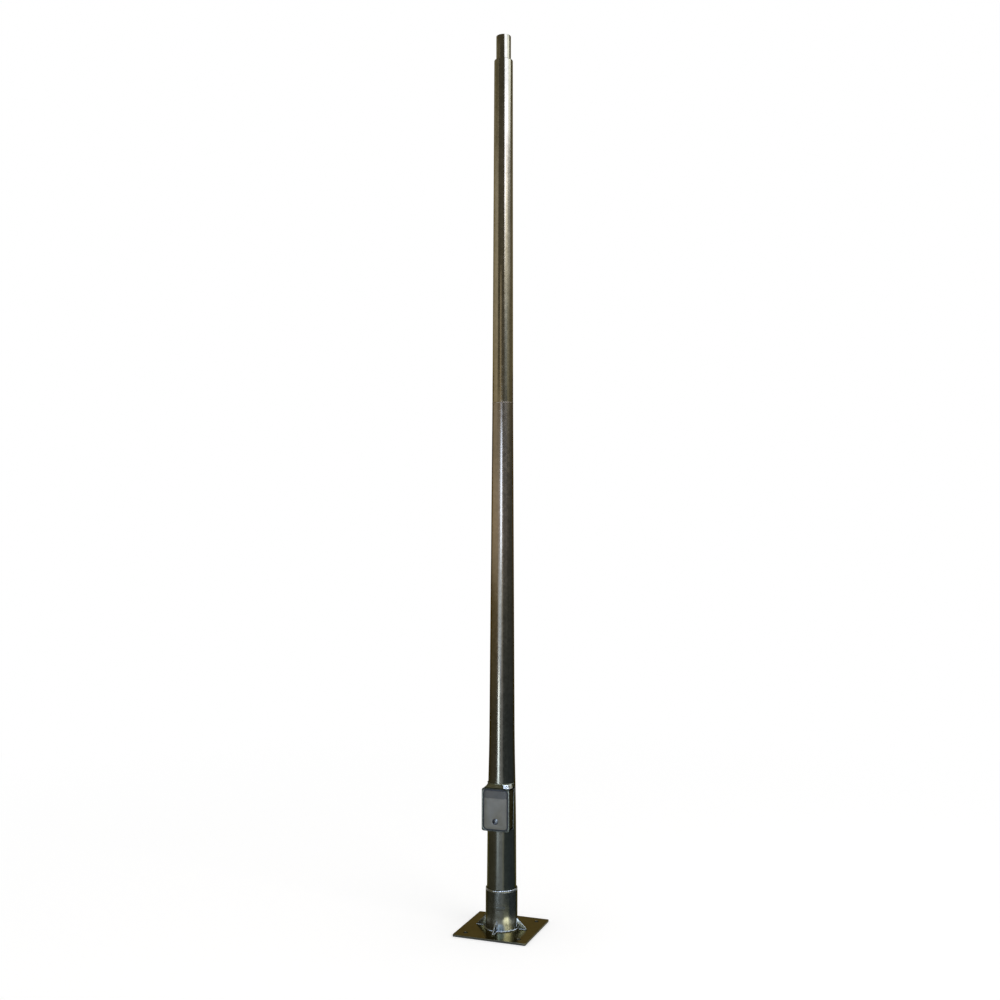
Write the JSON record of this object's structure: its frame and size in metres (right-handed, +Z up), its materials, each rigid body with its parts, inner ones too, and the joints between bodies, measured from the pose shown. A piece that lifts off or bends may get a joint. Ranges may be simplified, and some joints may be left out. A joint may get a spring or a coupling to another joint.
{
  "type": "conical lighting column",
  "caption": "Tapered galvanised steel lighting column on a square gusseted base plate, with a top spigot and a small service door near the foot.",
  "frame": {"origin": "middle of the base plate's underside, on the column's axis", "axes": "+Z up along the shaft, -Y out of the service door, +X to the right when facing the door"},
  "size_m": [0.3, 0.3, 3.6],
  "materials": {
    "galvanised_steel": "hot-dip galvanised, semi-gloss",
    "weld_steel": "bright zinc over weld beads",
    "label_metal": "plain, dull",
    "gasket_rubber": "matt",
    "cover_plastic": "moulded, fine grain",
    "cup_plastic": "moulded, dark",
    "zinc_steel": "bright zinc plated"
  },
  "bodies": {
    "column": {"base_plate": "galvanised_steel", "base_collar": "galvanised_steel", "plate_weld": "weld_steel", "collar_weld": "weld_steel", "gusset_front": "galvanised_steel", "gusset_right": "galvanised_steel", "gusset_back": "galvanised_steel", "gusset_left": "galvanised_steel", "label_blank": "label_metal", "lower_shaft": "galvanised_steel", "upper_shaft": "galvanised_steel", "top_ring": "galvanised_steel", "spigot": "galvanised_steel", "frame_left": "galvanised_steel", "frame_right": "galvanised_steel", "frame_head": "galvanised_steel", "frame_sill": "galvanised_steel", "door_hood": "galvanised_steel", "door_gasket": "gasket_rubber"},
    "door": {"door_cover": "cover_plastic", "hook_left": "zinc_steel", "hook_right": "zinc_steel", "lock_cup": "cup_plastic"},
    "lock": {"lock_bolt": "zinc_steel", "lock_cam": "zinc_steel", "lock_nut": "zinc_steel"}
  },
  "joints": [
    {"name": "door_tilt", "type": "hinge", "parent": "column", "child": "door", "pos_m": [0, -0.0743, 0.5605], "axis": [-1, 0, 0], "range_deg": [0, 60]},
    {"name": "lock_turn", "type": "hinge", "parent": "door", "child": "lock", "pos_m": [0, -0.0637, 0.4405], "axis": [0, 1, 0], "range_deg": [0, 90]}
  ]
}
